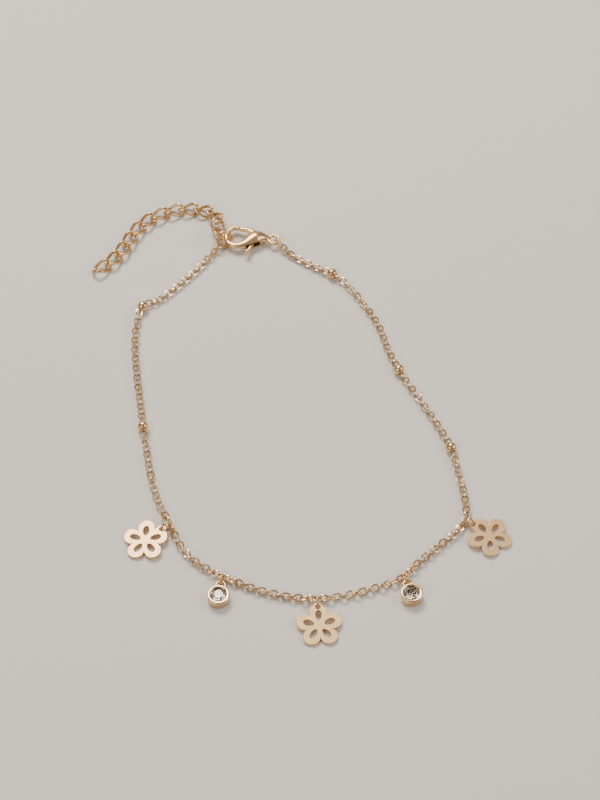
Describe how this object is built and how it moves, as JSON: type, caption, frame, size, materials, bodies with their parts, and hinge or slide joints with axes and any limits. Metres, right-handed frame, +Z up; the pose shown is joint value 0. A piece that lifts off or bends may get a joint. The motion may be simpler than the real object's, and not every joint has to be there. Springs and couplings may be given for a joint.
{
  "type": "charm anklet",
  "caption": "Fine gold-coloured satellite-chain anklet with pierced flower charms, bezel-set round stones, a lobster clasp and a curb extender, lying open.",
  "frame": {"origin": "middle of the anklet's outline on the surface that it lies on", "axes": "+X to the right, +Y from the middle flower towards the clasp, +Z up from the surface"},
  "size_m": [0.0831, 0.1082, 0.0039],
  "materials": {
    "chain_gold": "gold plated, polished drawn wire",
    "bead_gold": "gold plated, polished",
    "link_gold": "gold plated, polished wire",
    "ring_gold": "gold plated, polished wire",
    "flower_gold": "gold plated, satin face",
    "bezel_gold": "gold plated, polished",
    "clasp_gold": "gold plated, tumbled casting",
    "lever_gold": "gold plated, tumbled casting",
    "pin_gold": "gold plated",
    "extender_gold": "gold plated, soft polished wire",
    "crystal": "clear cut stone, polished facets"
  },
  "bodies": {
    "anklet": {"bead_left_back": "bead_gold", "bead_left_front": "bead_gold", "bead_right_back": "bead_gold", "bead_right_front": "bead_gold", "bead_right_middle": "bead_gold", "bezel_stone_left": "bezel_gold", "bezel_stone_right": "bezel_gold", "big_jump_ring": "ring_gold", "brilliant_stone_left": "crystal", "brilliant_stone_right": "crystal", "carrier_link_flower_centre": "link_gold", "carrier_link_flower_left": "link_gold", "carrier_link_flower_right": "link_gold", "carrier_link_stone_left": "link_gold", "carrier_link_stone_right": "link_gold", "chain_bead_left_back_to_bead_left_front": "chain_gold", "chain_bead_left_front_to_flower_left": "chain_gold", "chain_bead_right_back_to_link_right": "chain_gold", "chain_bead_right_front_to_bead_right_middle": "chain_gold", "chain_bead_right_middle_to_bead_right_back": "chain_gold", "chain_flower_centre_to_stone_right": "chain_gold", "chain_flower_left_to_stone_left": "chain_gold", "chain_flower_right_to_bead_right_front": "chain_gold", "chain_link_left_to_bead_left_back": "chain_gold", "chain_stone_left_to_flower_centre": "chain_gold", "chain_stone_right_to_flower_right": "chain_gold", "charm_ring_flower_centre": "ring_gold", "charm_ring_flower_left": "ring_gold", "charm_ring_flower_right": "ring_gold", "charm_ring_stone_left": "ring_gold", "charm_ring_stone_right": "ring_gold", "clasp_body": "clasp_gold", "clasp_pin": "pin_gold", "end_link_left": "link_gold", "end_link_right": "link_gold", "extender_link_01": "extender_gold", "extender_link_02": "extender_gold", "extender_link_03": "extender_gold", "extender_link_04": "extender_gold", "extender_link_05": "extender_gold", "extender_link_06": "extender_gold", "extender_link_07": "extender_gold", "extender_link_08": "extender_gold", "extender_link_09": "extender_gold", "extender_link_10": "extender_gold", "extender_link_11": "extender_gold", "extender_link_12": "extender_gold", "extender_link_13": "extender_gold", "flower_centre": "flower_gold", "flower_left": "flower_gold", "flower_right": "flower_gold"},
    "lever": {"clasp_lever": "lever_gold"}
  },
  "joints": [
    {"name": "lever_hinge", "type": "hinge", "parent": "anklet", "child": "lever", "pos_m": [-0.0078, 0.04492, 0.0014], "axis": [0, 0, 1], "range_deg": [0, 20], "stiffness_Nm_per_rad": 0.01}
  ]
}
